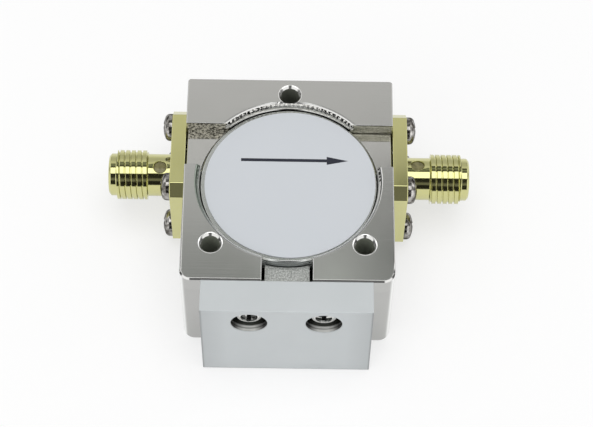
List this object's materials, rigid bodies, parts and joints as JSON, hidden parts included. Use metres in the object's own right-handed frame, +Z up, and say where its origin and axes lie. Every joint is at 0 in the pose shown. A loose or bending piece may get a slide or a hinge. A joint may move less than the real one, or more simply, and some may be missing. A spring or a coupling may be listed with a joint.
{
  "type": "coaxial isolator",
  "caption": "Plated steel block with a screwed round lid, threaded coaxial flange jacks on opposite sides and a screwed-on load block in front.",
  "frame": {"origin": "on the base, under the axis of the round cavity and its lid", "axes": "+X towards the right-hand connector, +Y away from the load block, +Z up out of the lid"},
  "size_m": [0.0448, 0.0326, 0.015],
  "materials": {
    "bright_nickel": "bright nickel plate on steel",
    "lid_nickel": "satin nickel plate on steel",
    "label_film": "matte white polyester label with black print",
    "cast_cover": "rough plated steel",
    "gold_plate": "gold plate on brass",
    "screw_steel": "plain stainless steel",
    "blasted_aluminium": "bead blasted and silver anodised",
    "white_insulator": "white fluoropolymer",
    "epoxy": "cured epoxy",
    "load_metal": "nickel plated copper",
    "load_ceramic": "white aluminium nitride",
    "silver_sheet": "silver plated copper",
    "ferrite": "ground dark garnet ferrite",
    "ring_ceramic": "ground pale ceramic",
    "pole_steel": "silver plated soft steel",
    "magnet": "ground magnet",
    "compensation_alloy": "rolled iron nickel sheet"
  },
  "bodies": {
    "root": {"housing": "bright_nickel", "lid": "lid_nickel", "label": "label_film", "slot_cover_left": "cast_cover", "slot_cover_right": "cast_cover", "notch_cover": "cast_cover", "connector_shell_left": "gold_plate", "connector_shell_right": "gold_plate", "insulator_left": "white_insulator", "insulator_right": "white_insulator", "contact_left": "gold_plate", "contact_right": "gold_plate", "epoxy_plug_left": "epoxy", "epoxy_plug_right": "epoxy", "flange_screws_left": "screw_steel", "flange_screws_right": "screw_steel", "load_block": "blasted_aluminium", "load_block_screws": "screw_steel", "load_carrier": "load_metal", "load_chip": "load_ceramic", "load_tab": "silver_sheet", "centre_conductor": "silver_sheet", "ferrite_lower": "ferrite", "ferrite_upper": "ferrite", "ceramic_ring_lower": "ring_ceramic", "ceramic_ring_upper": "ring_ceramic", "pole_plate_lower": "pole_steel", "pole_plate_upper": "pole_steel", "magnet_lower": "magnet", "magnet_upper": "magnet", "compensator_lower": "compensation_alloy", "compensator_upper": "compensation_alloy"}
  },
  "joints": []
}
